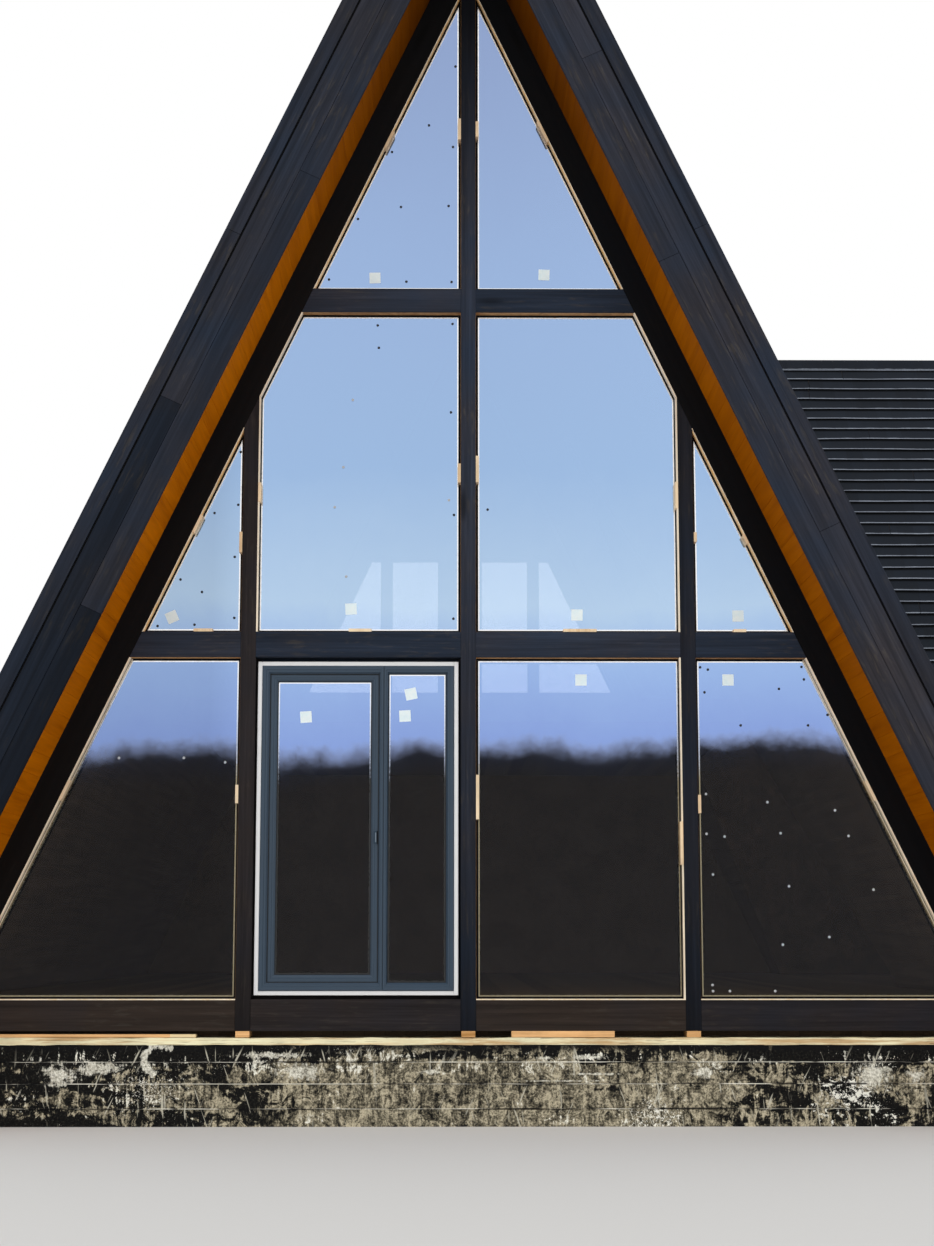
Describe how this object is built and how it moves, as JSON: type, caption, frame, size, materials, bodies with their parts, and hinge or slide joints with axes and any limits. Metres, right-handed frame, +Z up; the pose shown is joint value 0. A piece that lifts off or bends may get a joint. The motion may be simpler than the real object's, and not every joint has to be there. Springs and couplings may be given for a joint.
{
  "type": "a-frame cabin",
  "caption": "A-frame cabin with a tall glazed timber gable, a hinged glass door, a strip foundation and a lower cross wing under dark lapped roofs.",
  "frame": {"origin": "middle of the underside of the front foundation strip, on the centre line of the glazed gable, at the lowest ground", "axes": "+X to the right seen from the front, +Y from the glazed gable to the back, +Z up"},
  "size_m": [10.1257, 11.56, 9.1175],
  "materials": {
    "concrete": "bitumen-coated, scuffed",
    "raw_wood": "sawn, untreated",
    "black_timber": "black-brown stain",
    "floor_boards": "raw boards",
    "wall_boards": "black-brown stained boards",
    "amber_boards": "amber glaze",
    "glazing": "clear double glazing",
    "grey_frame": "anthracite grey",
    "white_strip": "white",
    "dark_metal": "black",
    "roofing": "slate-grey lapped courses"
  },
  "bodies": {
    "house": {"foundation": "concrete", "wing_foundation": "concrete", "sill_boards": "raw_wood", "wing_sill_boards": "raw_wood", "packing_blocks": "raw_wood", "floor_deck": "floor_boards", "wing_floor": "floor_boards", "loft_floor": "floor_boards", "centre_post": "black_timber", "side_posts": "black_timber", "front_rafters": "black_timber", "bottom_rails": "black_timber", "mid_beams": "black_timber", "collar_beams": "black_timber", "top_glass": "glazing", "upper_glass": "glazing", "side_glass": "glazing", "lower_side_glass": "glazing", "lower_right_glass": "glazing", "door_mounting_strip": "white_strip", "door_frame": "grey_frame", "sidelight_glass": "glazing", "door_hinge_pins": "dark_metal", "roof_left": "roofing", "roof_right_upper": "roofing", "roof_right_front": "roofing", "roof_right_rear": "roofing", "ridge_cap": "roofing", "front_soffit": "amber_boards", "rear_soffit": "amber_boards", "front_fascia_left": "black_timber", "front_fascia_right": "black_timber", "rear_fascia": "black_timber", "rear_wall_lower": "wall_boards", "rear_wall_upper": "wall_boards", "rear_wall_piers": "wall_boards", "rear_glass": "glazing", "rear_window_frames": "grey_frame", "wing_window_frames": "grey_frame", "wing_roof_front": "roofing", "wing_roof_rear": "roofing", "wing_ridge_cap": "roofing", "wing_fascia": "black_timber", "wing_wall_lower": "wall_boards", "wing_wall_piers": "wall_boards", "wing_wall_upper": "wall_boards", "wing_glass": "glazing"},
    "door_leaf": {"door_leaf": "grey_frame", "door_leaf_glass": "glazing", "door_handle": "dark_metal", "door_hinge_knuckles": "dark_metal"}
  },
  "joints": [
    {"name": "door_hinge", "type": "hinge", "parent": "house", "child": "door_leaf", "pos_m": [-1.3155, -0.026, 1.9], "axis": [0, 0, 1], "range_deg": [0, 95]}
  ]
}
